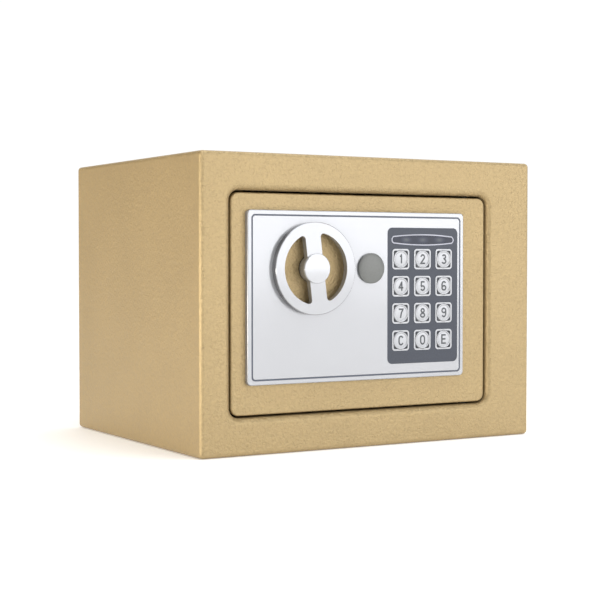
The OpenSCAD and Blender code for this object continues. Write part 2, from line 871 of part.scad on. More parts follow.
module key(k) {
    edge = 0.35;
    proud_y = pad_y - key_proud;
    body_l = key_proud + pad_t + key_stop_gap;
    key_l = body_l + key_flange_t;
    flange_r = key_flange_d / 2;
    color(silver) turned(key_x(k), key_z(k), proud_y)
        polygon([[0, 0], [key_d / 2 - edge, 0], [key_d / 2, edge], [key_d / 2, body_l],
            [flange_r, body_l], [flange_r, key_l], [0, key_l]]);
}

cabinet_wrap();
front_frame();
back_panel();
floor_mat();
door_plate();
hinge_blocks();
hinge_pins();
fascia();
keypad_bezel();
key_frames();
led_window();
leds();
keypad_mat();
control_board();
board_chips();
buzzer();
lock_cover();
cover_pillars();
cover_screws();
battery_tray();
battery_cells();
battery_contacts();
solenoid_frame();
solenoid_coil();
bolt_guides();
guide_studs();
lock_body();
lock_nut();
spindle_bush();
fascia_screws();
wire_loom();
knob();
knob_spindle();
drive_cam();
cam_screw();
bolt_carriage();
bolt_upper();
bolt_lower();
lock_plug();
lock_cam();
lock_cap();
reset_button();
battery_lid();
solenoid_plunger();
solenoid_spring();
key(0);  // key_1
key(1);  // key_2
key(2);  // key_3
key(3);  // key_4
key(4);  // key_5
key(5);  // key_6
key(6);  // key_7
key(7);  // key_8
key(8);  // key_9
key(9);  // key_c
key(10);  // key_0
key(11);  // key_e
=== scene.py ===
"""Looks for the room safe: materials, key legends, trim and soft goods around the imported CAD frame."""

import json
import math
import random

import bmesh
import bpy
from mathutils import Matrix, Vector


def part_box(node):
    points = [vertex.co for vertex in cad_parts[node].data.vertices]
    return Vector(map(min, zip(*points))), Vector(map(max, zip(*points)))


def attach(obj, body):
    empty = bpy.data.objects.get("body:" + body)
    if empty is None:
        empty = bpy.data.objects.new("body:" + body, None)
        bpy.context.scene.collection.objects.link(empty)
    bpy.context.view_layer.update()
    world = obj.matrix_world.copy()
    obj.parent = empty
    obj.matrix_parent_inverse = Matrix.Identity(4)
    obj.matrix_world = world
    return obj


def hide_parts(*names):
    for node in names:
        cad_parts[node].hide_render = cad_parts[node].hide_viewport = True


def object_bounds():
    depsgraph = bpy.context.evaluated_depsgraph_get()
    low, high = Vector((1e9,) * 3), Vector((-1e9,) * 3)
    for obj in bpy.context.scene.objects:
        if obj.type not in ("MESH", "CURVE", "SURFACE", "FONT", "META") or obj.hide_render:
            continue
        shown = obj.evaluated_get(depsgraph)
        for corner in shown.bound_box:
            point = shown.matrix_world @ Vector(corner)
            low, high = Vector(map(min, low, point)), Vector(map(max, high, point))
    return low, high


MM = 0.001

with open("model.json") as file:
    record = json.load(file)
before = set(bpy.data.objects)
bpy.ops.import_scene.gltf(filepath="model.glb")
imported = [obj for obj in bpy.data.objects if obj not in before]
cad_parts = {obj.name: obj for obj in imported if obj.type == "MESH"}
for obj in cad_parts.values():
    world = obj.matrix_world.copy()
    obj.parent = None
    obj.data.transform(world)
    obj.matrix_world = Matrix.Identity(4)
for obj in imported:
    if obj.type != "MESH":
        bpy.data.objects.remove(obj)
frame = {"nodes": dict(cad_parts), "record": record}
cad_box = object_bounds()
nodes = frame["nodes"]

# ---------- places taken from the frame ----------


def front_middle(node):
    """Middle of a node's box as the front shows it: across, and up."""
    low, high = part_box(node)
    return (low.x + high.x) / 2, (low.z + high.z) / 2


def size(node):
    low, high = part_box(node)
    return high - low


KEYS = ["1", "2", "3", "4", "5", "6", "7", "8", "9", "c", "0", "e"]
FASCIA_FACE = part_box("fascia")[0].y
BEZEL_FACE = FASCIA_FACE + 0.1 * MM
PRINT_FOOT = BEZEL_FACE + 0.02 * MM
LAMP_PITCH = 12.1 * MM
DOOR_GAP = 1.15 * MM
OPENING_CORNER = 6.1 * MM

# ---------- camera, as the photograph looks at the safe ----------

VIEW_YAW = math.radians(30.44)
VIEW_DOWN = math.radians(1.69)
CAMERA_AT = Vector((-0.4636, -0.7898, 0.1109))
LENS_MM = 85.66


def add_camera():
    data = bpy.data.cameras.new("camera")
    data.sensor_width = 36.0
    data.lens = LENS_MM
    data.clip_start = 0.01
    data.clip_end = 50.0
    data.dof.use_dof = False
    camera = bpy.data.objects.new("camera", data)
    bpy.context.scene.collection.objects.link(camera)
    look = Vector((
        math.sin(VIEW_YAW) * math.cos(VIEW_DOWN),
        math.cos(VIEW_YAW) * math.cos(VIEW_DOWN),
        -math.sin(VIEW_DOWN),
    ))
    camera.location = CAMERA_AT
    camera.rotation_euler = look.to_track_quat("-Z", "Y").to_euler()
    bpy.context.scene.camera = camera


# ---------- material graphs ----------


def blend(tree, fac, a, b):
    """Mix of two colours, each given as a value or as a socket."""
    made = tree.nodes.new("ShaderNodeMix")
    made.data_type = "RGBA"
    tree.links.new(fac, made.inputs["Factor"])
    for socket, value in (("A", a), ("B", b)):
        if isinstance(value, tuple):
            made.inputs[socket].default_value = (*value, 1.0)
        else:
            tree.links.new(value, made.inputs[socket])
    return made.outputs["Result"]


class Shader:
    """A principled material with short helpers for procedural detail in row-frame metres."""

    def __init__(self, name, color, roughness, metallic=0.0):
        self.mat = bpy.data.materials.new(name)
        self.mat.use_nodes = True
        self.mat.diffuse_color = (*color, 1.0)
        self.tree = self.mat.node_tree
        self.bsdf = self.tree.nodes["Principled BSDF"]
        self.set("Base Color", (*color, 1.0))
        self.set("Roughness", roughness)
        self.set("Metallic", metallic)
        places = self.tree.nodes.new("ShaderNodeTexCoord").outputs
        self.coords = places["Object"]
        self.normals = places["Normal"]

    def set(self, socket, value):
        self.bsdf.inputs[socket].default_value = value

    def link(self, output, socket):
        self.tree.links.new(output, self.bsdf.inputs[socket])

    def node(self, kind, **inputs):
        made = self.tree.nodes.new(kind)
        for name, value in inputs.items():
            socket = made.inputs[name.replace("_", " ")]
            if isinstance(value, bpy.types.NodeSocket):
                self.tree.links.new(value, socket)
            else:
                socket.default_value = value
        return made

    def stretch(self, scale):
        return self.node("ShaderNodeMapping", Vector=self.coords, Scale=scale).outputs["Vector"]

    def noise(self, scale, detail=2.0, roughness=0.5, vector=None, swirl=0.0):
        made = self.node("ShaderNodeTexNoise", Vector=vector or self.coords, Scale=scale,
                         Detail=detail, Roughness=roughness, Distortion=swirl)
        return made.outputs["Fac"]

    def cells(self, scale, smooth=0.6):
        made = self.tree.nodes.new("ShaderNodeTexVoronoi")
        made.feature = "SMOOTH_F1"
        self.tree.links.new(self.coords, made.inputs["Vector"])
        made.inputs["Scale"].default_value = scale
        made.inputs["Smoothness"].default_value = smooth
        return made.outputs["Distance"]

    def math(self, operation, a, b):
        made = self.tree.nodes.new("ShaderNodeMath")
        made.operation = operation
        for socket, value in zip(made.inputs, (a, b)):
            if isinstance(value, bpy.types.NodeSocket):
                self.tree.links.new(value, socket)
            else:
                socket.default_value = value
        return made.outputs[0]

    def remap(self, fac, low, high, to_low, to_high):
        made = self.node("ShaderNodeMapRange", Value=fac)
        made.inputs["From Min"].default_value = low
        made.inputs["From Max"].default_value = high
        made.inputs["To Min"].default_value = to_low
        made.inputs["To Max"].default_value = to_high
        return made.outputs["Result"]

    def mix(self, fac, a, b):
        return blend(self.tree, fac, a, b)

    def axis(self, vector, name):
        return self.node("ShaderNodeSeparateXYZ", Vector=vector).outputs[name]

    def ramp(self, fac, stops):
        made = self.node("ShaderNodeValToRGB", Fac=fac)
        elements = made.color_ramp.elements
        while len(elements) < len(stops):
            elements.new(0.5)
        for element, (at, color) in zip(elements, stops):
            element.position = at
            element.color = (*color, 1.0)
        return made.outputs["Color"]

    def vector_math(self, operation, a, b=None):
        made = self.tree.nodes.new("ShaderNodeVectorMath")
        made.operation = operation
        self.tree.links.new(a, made.inputs[0])
        if b is not None:
            made.inputs[1].default_value = b
        return made

    def front_place(self, at):
        """Place across the front, measured from a point; depth is dropped."""
        moved = self.node("ShaderNodeMapping", Vector=self.coords, Location=(-at[0], 0.0, -at[1]),
                          Scale=(1.0, 0.0, 1.0))
        return moved.outputs["Vector"]

    def reach(self, at):
        """Distance across the front from a point."""
        return self.vector_math("LENGTH", self.front_place(at)).outputs["Value"]

    def outline_gap(self, at, w, h, r):
        """Signed distance from a rounded rectangle on the front, positive outside it."""
        folded = self.vector_math("ABSOLUTE", self.front_place(at)).outputs["Vector"]
        q = self.vector_math("SUBTRACT", folded, (w / 2 - r, 0.0, h / 2 - r)).outputs["Vector"]
        clipped = self.vector_math("MAXIMUM", q, (0.0, 0.0, 0.0)).outputs["Vector"]
        outside = self.vector_math("LENGTH", clipped).outputs["Value"]
        parts = self.node("ShaderNodeSeparateXYZ", Vector=q).outputs
        inside = self.math("MINIMUM", self.math("MAXIMUM", parts["X"], parts["Z"]), 0.0)
        return self.math("SUBTRACT", self.math("ADD", outside, inside), r)

    def roll(self, gap, reach, drop):
        """Sheet that rolls back by drop over the last reach before an edge at gap zero."""
        near = self.remap(gap, 0.0, reach, 1.0, 0.0)
        return self.bump(self.math("MULTIPLY", self.math("POWER", near, 2.0), -1.0), drop)

    def bump(self, height, depth, strength=1.0, under=None):
        made = self.node("ShaderNodeBump", Height=height, Distance=depth, Strength=strength)
        if under is not None:
            self.tree.links.new(under, made.inputs["Normal"])
        return made.outputs["Normal"]


def shade(color, factor):
    return tuple(min(1.0, c * factor) for c in color)


def gold_paint(name, edge=None):
    """Hammered metallic gold coat: small wrinkled pebbles over a slower drift of tone; the colour is also
    lighter where the pebbles stand highest, a painted highlight on them.
    """
    gold = (0.403, 0.300, 0.155)
    s = Shader(name, gold, 0.42, 0.45)
    under = edge(s) if edge else None
    warp = s.noise(300.0, 2.0, 0.5)
    pebble = s.noise(620.0, 1.5, 0.5, swirl=0.8)
    cell = s.cells(560.0)
    drift = s.noise(18.0, 3.0)
    mix = s.math("ADD", s.math("MULTIPLY", pebble, 0.75), s.math("MULTIPLY", drift, 0.25))
    # Painted highlight: lighter colour on the pebbles' tops, mixed with a drift of tone at random.
    s.link(s.ramp(mix, [(0.3, shade(gold, 0.88)), (0.5, gold), (0.72, shade(gold, 1.12))]), "Base Color")
    s.link(s.remap(pebble, 0.3, 0.7, 0.36, 0.50), "Roughness")
    s.set("Specular IOR Level", 0.35)
    facing = s.axis(s.normals, "X")
    calm = s.remap(s.math("ABSOLUTE", facing, 0.0), 0.3, 0.9, 1.0, 0.33)
    low = s.bump(cell, 0.30 * MM, s.math("MULTIPLY", calm, 0.6), under)
    mid = s.bump(warp, 0.28 * MM, s.math("MULTIPLY", calm, 0.55), low)
    s.link(s.bump(pebble, 0.46 * MM, s.math("MULTIPLY", calm, 0.95), mid), "Normal")
    return s.mat


def frame_lip(s):
    """The frame's lip, which rolls in all round the door opening."""
    door = size("door_plate")
    gap = s.outline_gap(front_middle("door_plate"), door.x + 2 * DOOR_GAP, door.z + 2 * DOOR_GAP,
                        OPENING_CORNER)
    reach, drop = 4.5 * MM, 0.5 * MM
    return s.roll(gap, reach, drop)


def silver_base(name, roughness, lift):
    """Satin silver lacquer on moulded plastic: the shader, its face colour and a mask of its walls."""
    # A lift above one makes a brighter, lit copy of the silver: a painted highlight.
    silver = shade((0.455, 0.463, 0.486), lift)
    s = Shader(name, silver, roughness, 0.5)
    grain = s.noise(900.0, 2.0)
    drift = s.noise(30.0, 2.0)
    facing = s.axis(s.normals, "Y")
    side = s.remap(s.math("ABSOLUTE", facing, 0.0), 0.95, 0.35, 0.0, 1.0)
    face = s.ramp(drift, [(0.3, shade(silver, 0.985)), (0.7, shade(silver, 1.01))])
    s.link(s.remap(grain, 0.3, 0.7, roughness - 0.01, roughness + 0.01), "Roughness")
    return s, face, side


def silver_panel(name, shaded_wall, roughness=0.18, lift=1.0):
    """Silver lacquer with painted shade on its walls, which run back from the face: they are coloured
    darker to stand in for the dark surroundings they reflect.
    """
    s, face, side = silver_base(name, roughness, lift)
    s.link(s.mix(side, face, shaded_wall), "Base Color")
    return s.mat


def silver_knob():
    """The knob: a slightly domed face, and walls with painted shade: darker towards their foot, where
    shade falls, and darker round the outside, a painted reflection of the dark surroundings.
    """
    s, face, side = silver_base("silver_knob", 0.16, 1.0)
    face_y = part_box("knob")[0].y
    rim = size("knob").x / 2
    foot_start, foot_end = face_y + 3.6 * MM, face_y + 6.2 * MM
    outside_start, outside_end = rim - 1.0 * MM, rim - 0.4 * MM
    dome = -0.38  # metres of fall for each square metre of reach: 0.27 mm at the rim
    reach = s.reach(front_middle("knob"))
    # Painted shade: the walls darken towards their foot, deep in the windows.
    foot = s.remap(s.axis(s.coords, "Y"), foot_start, foot_end, 0.0, 1.0)
    # Painted reflection: the outer wall is coloured dark, as it looks when it reflects the dark left side.
    outside = s.remap(reach, outside_start, outside_end, 0.0, 1.0)
    inner = s.mix(foot, (0.30, 0.295, 0.28), (0.05, 0.045, 0.035))
    shaded_wall = s.mix(outside, inner, (0.14, 0.14, 0.145))
    s.link(s.mix(side, face, shaded_wall), "Base Color")
    s.link(s.bump(s.math("POWER", reach, 2.0), dome), "Normal")
    return s.mat


def keypad_grey():
    slate = (0.0405, 0.0475, 0.0665)
    s = Shader("keypad_grey", slate, 0.42)
    grain = s.noise(1800.0, 3.0)
    s.link(s.ramp(grain, [(0.35, shade(slate, 0.92)), (0.65, shade(slate, 1.1))]), "Base Color")
    s.link(s.remap(grain, 0.3, 0.7, 0.36, 0.5), "Roughness")
    s.link(s.bump(grain, 0.02 * MM, 0.3), "Normal")
    return s.mat


def key_silver():
    """Silver lacquer on the keys and their printed frames."""
    silver = (0.463, 0.472, 0.496)
    s = Shader("key_silver", silver, 0.32, 0.45)
    grain = s.noise(2400.0, 2.0)
    s.link(s.ramp(grain, [(0.3, shade(silver, 0.95)), (0.7, shade(silver, 1.03))]), "Base Color")
    s.link(s.remap(grain, 0.3, 0.7, 0.28, 0.38), "Roughness")
    s.link(s.bump(grain, 0.01 * MM, 0.3), "Normal")
    return s.mat


def moulded(name, color, roughness):
    """Moulded plastic with a fine spark-eroded grain."""
    s = Shader(name, color, roughness)
    grain = s.noise(900.0, 3.0, 0.6)
    drift = s.noise(45.0, 2.0)
    s.link(s.ramp(drift, [(0.3, shade(color, 0.9)), (0.7, shade(color, 1.1))]), "Base Color")
    s.link(s.remap(grain, 0.3, 0.7, roughness - 0.07, roughness + 0.07), "Roughness")
    s.link(s.bump(grain, 0.03 * MM, 0.5), "Normal")
    return s.mat


def plated(name, color, roughness=0.3, along=(1.0, 1.0, 1.0)):
    """Plated or turned steel: fine scratches and slight staining."""
    s = Shader(name, color, roughness, 1.0)
    scratch = s.noise(300.0, 4.0, 0.6, s.stretch(along))
    stain = s.noise(60.0, 3.0)
    s.link(s.ramp(stain, [(0.3, shade(color, 0.86)), (0.7, color)]), "Base Color")
    s.link(s.remap(scratch, 0.3, 0.7, roughness - 0.08, roughness + 0.12), "Roughness")
    s.link(s.bump(scratch, 0.02 * MM, 0.4), "Normal")
    return s.mat


def case_black():
    """Black powder coat."""
    black = (0.022, 0.022, 0.024)
    s = Shader("case_black", black, 0.5)
    grain = s.noise(1400.0, 2.0)
    s.link(s.ramp(grain, [(0.3, shade(black, 0.8)), (0.7, shade(black, 1.4))]), "Base Color")
    s.link(s.remap(grain, 0.3, 0.7, 0.42, 0.58), "Roughness")
    s.link(s.bump(grain, 0.04 * MM, 0.6), "Normal")
    return s.mat


def cap_plastic():
    """Grey moulded cap: a slight dome that turns down at its rim."""
    grey = (0.162, 0.167, 0.161)
    s = Shader("cap_grey", grey, 0.40)
    r = s.remap(s.reach(front_middle("lock_cap")), 0.0, size("lock_cap").x / 2, 0.0, 1.0)
    dome = s.math("ADD", s.math("POWER", r, 2.0), s.math("MULTIPLY", s.math("POWER", r, 12.0), 0.6))
    grain = s.noise(700.0, 3.0, 0.6)
    s.link(s.ramp(grain, [(0.3, shade(grey, 0.95)), (0.7, shade(grey, 1.05))]), "Base Color")
    s.link(s.remap(grain, 0.3, 0.7, 0.35, 0.45), "Roughness")
    under = s.bump(s.math("MULTIPLY", dome, -1.0), 0.7 * MM)
    s.link(s.bump(grain, 0.03 * MM, 0.4, under), "Normal")
    return s.mat


def lens_plastic():
    """Smoked window: each lamp behind it shows as a soft pale spot, and the ends are darker."""
    smoke = (0.030, 0.034, 0.052)
    s = Shader("lens", smoke, 0.2)
    pale = (0.10, 0.108, 0.118)
    middle_x, middle_z = front_middle("led_window")
    spot_reach = 2.4 * MM
    streak = s.noise(80.0, 2.0)
    glow = None
    for lamp_x in (middle_x - LAMP_PITCH, middle_x, middle_x + LAMP_PITCH):
        oval = s.node("ShaderNodeMapping", Vector=s.front_place((lamp_x, middle_z)), Scale=(0.5, 0.0, 1.0))
        reach = s.vector_math("LENGTH", oval.outputs["Vector"]).outputs["Value"]
        fall = s.remap(reach, 0.0, spot_reach, 1.0, 0.0)
        glow = fall if glow is None else s.math("ADD", glow, fall)
    mix = s.math("ADD", s.math("MULTIPLY", glow, 0.8), s.math("MULTIPLY", streak, 0.3))
    s.link(s.ramp(mix, [(0.1, shade(smoke, 0.85)), (0.45, shade(smoke, 1.35)), (1.0, pale)]), "Base Color")
    s.link(s.remap(streak, 0.3, 0.7, 0.16, 0.24), "Roughness")
    s.set("Specular IOR Level", 0.33)
    return s.mat


def felt():
    """Needle felt: short crossing fibres."""
    grey = (0.028, 0.028, 0.031)
    s = Shader("felt", grey, 0.95)
    fibre = s.noise(900.0, 5.0, 0.75, s.stretch((1.0, 0.35, 1.0)))
    cross = s.noise(900.0, 5.0, 0.75, s.stretch((0.35, 1.0, 1.0)))
    mat = s.math("ADD", s.math("MULTIPLY", fibre, 0.5), s.math("MULTIPLY", cross, 0.5))
    s.link(s.ramp(mat, [(0.3, shade(grey, 0.6)), (0.7, shade(grey, 2.0))]), "Base Color")
    s.link(s.bump(mat, 0.4 * MM, 0.9), "Normal")
    s.set("Sheen Weight", 0.35)
    s.set("Sheen Roughness", 0.5)
    return s.mat


def make_materials():
    return {
        "gold_paint": gold_paint("gold_paint"),
        "gold_frame": gold_paint("gold_frame", frame_lip),
        # Painted shade: the panel's walls are coloured darker than its face.
        "silver_panel": silver_panel("silver_panel", (0.30, 0.305, 0.325)),
        # Painted highlight: the boss is a brighter, lit copy of the panel's silver, with lighter walls.
        "silver_boss": silver_panel("silver_boss", (0.50, 0.51, 0.53), 0.17, 1.10),
        "silver_knob": silver_knob(),
        "keypad_grey": keypad_grey(),
        "key_silver": key_silver(),
        "cap_grey": cap_plastic(),
        "lens": lens_plastic(),
        "led_plastic": moulded("led_plastic", (0.55, 0.58, 0.56), 0.2),
        "rubber_grey": moulded("rubber_grey", (0.16, 0.16, 0.17), 0.7),
        "board_green": moulded("board_green", (0.015, 0.12, 0.05), 0.35),
        "black_plastic": moulded("black_plastic", (0.022, 0.022, 0.024), 0.48),
        "case_black": case_black(),
        "zinc_steel": plated("zinc_steel", (0.56, 0.57, 0.58), 0.34, (0.2, 1.0, 1.0)),
        "black_steel": plated("black_steel", (0.03, 0.028, 0.026), 0.5),
        "bolt_chrome": plated("bolt_chrome", (0.78, 0.79, 0.81), 0.16, (6.0, 1.0, 1.0)),
        "lock_brass": plated("lock_brass", (0.62, 0.46, 0.2), 0.3),
        "copper_coil": moulded("copper_coil", (0.4, 0.14, 0.05), 0.35),
        "cell_label": moulded("cell_label", (0.30, 0.24, 0.12), 0.3),
        "felt": felt(),
        "red_plastic": moulded("red_plastic", (0.5, 0.02, 0.02), 0.3),
        "legend_ink": moulded("legend_ink", (0.065, 0.07, 0.078), 0.5),
        "line_ink": moulded("line_ink", (0.072, 0.082, 0.112), 0.45),
        "frame_ink": moulded("frame_ink", (0.43, 0.44, 0.51), 0.4),
        # Painted shade: a dark sheet in the corners round each key.
        "painted_recess_shade": moulded("painted_recess_shade", (0.030, 0.033, 0.042), 0.5),
    }


# ---------- mesh helpers ----------


def mesh_piece(name, bm, material, body, smooth=False):
    data = bpy.data.meshes.new(name)
    bmesh.ops.recalc_face_normals(bm, faces=bm.faces)
    bm.to_mesh(data)
    bm.free()
    obj = bpy.data.objects.new(name, data)
    bpy.context.scene.collection.objects.link(obj)
    data.materials.append(material)
    if smooth:
        data.shade_smooth()
    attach(obj, body)
    return obj


def rounded_rect(w, h, r, steps=8):
    """Outline of a rounded rectangle about the origin, anticlockwise."""
    points = []
    for i in range(4):
        turn = math.pi / 2 * i
        cx = (w / 2 - r) * (1 if i in (0, 3) else -1)
        cz = (h / 2 - r) * (1 if i in (0, 1) else -1)
        for k in range(steps + 1):
            a = turn + math.pi / 2 * k / steps
            points.append((cx + r * math.cos(a), cz + r * math.sin(a)))
    return points


def ring_band(name, outer, inner, at, y0, y1, material, body):
    """Closed band between two outlines of equal length, from depth y0 to y1."""
    bm = bmesh.new()
    loops = []
    for outline in (outer, inner):
        for y in (y0, y1):
            loops.append([bm.verts.new((at[0] + x, y, at[1] + z)) for x, z in outline])
    count = len(outer)
    sides = [(loops[0], loops[2]), (loops[2], loops[3]), (loops[3], loops[1]), (loops[1], loops[0])]
    for a, b in sides:
        for i in range(count):
            j = (i + 1) % count
            bm.faces.new((a[i], a[j], b[j], b[i]))
    return mesh_piece(name, bm, material, body)


def lathe_y(name, profile, at, material, body, steps=64):
    """Turned piece along Y: the profile lists (radius, depth), first and last on the axis."""
    bm = bmesh.new()
    rings = []
    for radius, depth in profile:
        if radius <= 1e-9:
            rings.append([bm.verts.new((at[0], depth, at[1]))])
            continue
        ring = []
        for k in range(steps):
            a = 2 * math.pi * k / steps
            ring.append(bm.verts.new((at[0] + radius * math.cos(a), depth, at[1] + radius * math.sin(a))))
        rings.append(ring)
    for a, b in zip(rings, rings[1:]):
        for k in range(steps):
            j = (k + 1) % steps
            if len(a) == 1:
                bm.faces.new((a[0], b[k], b[j]))
            elif len(b) == 1:
                bm.faces.new((a[k], a[j], b[0]))
            else:
                bm.faces.new((a[k], a[j], b[j], b[k]))
    return mesh_piece(name, bm, material, body, smooth=True)


def dress(node, material):
    data = nodes[node].data
    data.materials.clear()
    data.materials.append(material)


# ---------- pieces ----------


def add_fascia_line(mats):
    """Painted line that fills the groove round the fascia."""
    w, h = size("fascia").x, size("fascia").z
    inset, width, corner = 2.43 * MM, 0.94 * MM, 2.47 * MM
    top, foot = FASCIA_FACE + 0.08 * MM, FASCIA_FACE + 0.29 * MM
    outer = rounded_rect(w - 2 * inset, h - 2 * inset, corner)
    inner = rounded_rect(w - 2 * (inset + width), h - 2 * (inset + width), corner - width)
    ring_band("fascia_line", outer, inner, front_middle("fascia"), top, foot,
              mats["line_ink"], "door")


def lens_outline(w, h, grow, steps=24):
    """The lamp window's outline: bowed long sides and round ends, grown by a margin."""
    bow = 190 * MM

    def half_height(x):
        return h / 2 - bow + math.sqrt(bow * bow - x * x)

    end = half_height(w / 2 - 2.5 * MM)
    mid = w / 2 - end
    points = []
    for sign in (1, -1):
        for k in range(steps):
            x = mid * (1 - 2 * k / steps)
            points.append(Vector((sign * x, sign * half_height(x))))
        for k in range(steps):
            a = math.pi / 2 + math.pi * k / steps
            points.append(Vector((sign * (end * math.cos(a) - mid), sign * end * math.sin(a))))
    grown = []
    for i, p in enumerate(points):
        along = points[(i + 1) % len(points)] - points[i - 1]
        grown.append(tuple(p + Vector((along.y, -along.x)).normalized() * grow))
    return grown


def add_lens_outline(mats):
    """Pale line printed round the lamp window."""
    span = size("led_window")
    w, h = span.x - 0.3 * MM, span.z
    outer, inner = lens_outline(w, h, 0.38 * MM), lens_outline(w, h, -0.28 * MM)
    ring_band("lens_outline", outer, inner, front_middle("led_window"), BEZEL_FACE - 0.16 * MM, PRINT_FOOT,
              mats["frame_ink"], "door")


def add_painted_key_shade(label, mats):
    """Painted shade: a dark sheet between the round key and its square frame, standing in for the shade in
    the corners of the frame.
    """
    side, corner, bore = 11.0 * MM, 1.3 * MM, 10.86 * MM
    outer, inner = rounded_rect(side, side, corner), rounded_rect(bore, bore, bore / 2)
    ring_band("recess_" + label, outer, inner, front_middle("key_" + label), BEZEL_FACE - 0.03 * MM,
              PRINT_FOOT, mats["painted_recess_shade"], "door")


DOME_R = 3.9 * MM


def key_depth(r):
    """Depth of a key's top behind its rim: a low dome in a shallow ring."""
    return (0.30 - 0.16 * max(0.0, 1 - (r / DOME_R) ** 2)) * MM


def add_key(label, mats):
    """Round key with a rolled rim, a ring groove and a low dome, and its legend."""
    node = "key_" + label
    low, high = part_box(node)
    at = front_middle(node)
    radius, flange = 5.25 * MM, (high.x - low.x) / 2
    rim, flange_height = 0.48 * MM, 0.6 * MM
    dome_steps, rim_steps = 8, 12
    dome = [DOME_R * k / dome_steps for k in range(dome_steps + 1)]
    profile = [(r, low.y + key_depth(r)) for r in dome]
    for k in range(rim_steps + 1):
        a = math.pi * k / rim_steps
        profile.append((radius - rim - rim * math.cos(a), low.y + rim - rim * math.sin(a)))
    shoulder = high.y - flange_height
    profile += [(radius, shoulder), (flange, shoulder), (flange, high.y), (0.0, high.y)]
    cap = lathe_y("keycap_" + label, profile, at, mats["key_silver"], node)
    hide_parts(node)
    add_legend(label, at, low.y, node, mats["legend_ink"])


def add_knob_boss(mats):
    """Flat boss with a rounded edge, raised on the middle of the knob."""
    face_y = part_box("knob")[0].y
    radius, rise, edge = 8.5 * MM, 1.5 * MM, 0.5 * MM
    top, foot = face_y - rise, face_y + 0.04 * MM
    steps = 8
    profile = [(0.0, top)]
    for k in range(steps + 1):
        a = math.pi / 2 * k / steps
        profile.append((radius - edge + edge * math.sin(a), top + edge - edge * math.cos(a)))
    profile += [(radius, foot), (0.0, foot)]
    boss = lathe_y("knob_boss", profile, front_middle("knob"), mats["silver_boss"], "knob")
    boss.data.set_sharp_from_angle(angle=math.radians(50.0))


def add_floor_mat(mats):
    """Felt mat: rounded edge, slightly lumpy top, and holes over the cabinet's fixings."""
    low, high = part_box("floor_mat")
    fixing_x, hole_r, hole_pull = 60 * MM, 5.2 * MM, 1.0 * MM
    holes = [(-fixing_x, 0.0), (fixing_x, 0.0)]
    top_z = high.z - 0.3 * MM
    wave_height, edge_drop, edge_reach = 0.25 * MM, 0.9 * MM, 2.5 * MM
    nx, ny = 112, 80
    bm = bmesh.new()
    rng = random.Random(5)
    bumps = [(rng.uniform(20, 120), rng.uniform(20, 120), rng.uniform(0, 6.3)) for _ in range(12)]

    def lift(x, y):
        wave = sum(math.sin(a * x + b * y + c) for a, b, c in bumps) / len(bumps)
        edge = min(x - low.x, high.x - x, y - low.y, high.y - y)
        return wave_height * wave - edge_drop * max(0.0, 1 - edge / edge_reach) ** 2

    grid = []
    for i in range(nx + 1):
        row = []
        for j in range(ny + 1):
            x = low.x + (high.x - low.x) * i / nx
            y = low.y + (high.y - low.y) * j / ny
            for hx, hy in holes:
                reach = math.hypot(x - hx, y - hy)
                if hole_r - hole_pull < reach < hole_r + hole_pull:
                    x, y = hx + (x - hx) * hole_r / reach, hy + (y - hy) * hole_r / reach
            row.append(bm.verts.new((x, y, top_z + lift(x, y))))
        grid.append(row)
    for i in range(nx):
        for j in range(ny):
            quad = (grid[i][j], grid[i + 1][j], grid[i + 1][j + 1], grid[i][j + 1])
            mid = sum((v.co for v in quad), Vector()) / 4
            if all(math.hypot(mid.x - hx, mid.y - hy) > hole_r for hx, hy in holes):
                bm.faces.new(quad)
    bmesh.ops.delete(bm, geom=[v for v in bm.verts if not v.link_faces], context="VERTS")
    rim = [e for e in bm.edges if e.is_boundary]
    skirt = bmesh.ops.extrude_edge_only(bm, edges=rim)["geom"]
    for part in skirt:
        if isinstance(part, bmesh.types.BMVert):
            part.co.z = low.z
    mat = mesh_piece("felt_mat", bm, mats["felt"], "cabinet", smooth=True)
    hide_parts("floor_mat")


# Legends are drawn with a pen: strokes through points, in millimetres about the character's middle
PEN = 0.95
PEN_W = 1.4
PEN_H = 2.5
INK_DEPTHS = (-0.02 * MM, 0.06 * MM)


def arc(cx, cz, rx, rz, start, end, steps=16):
    points = []
    for k in range(steps + 1):
        a = math.radians(start + (end - start) * k / steps)
        points.append((cx + rx * math.cos(a), cz + rz * math.sin(a)))
    return points


def turned_over(strokes):
    return [[(-x, -z) for x, z in stroke] for stroke in strokes]


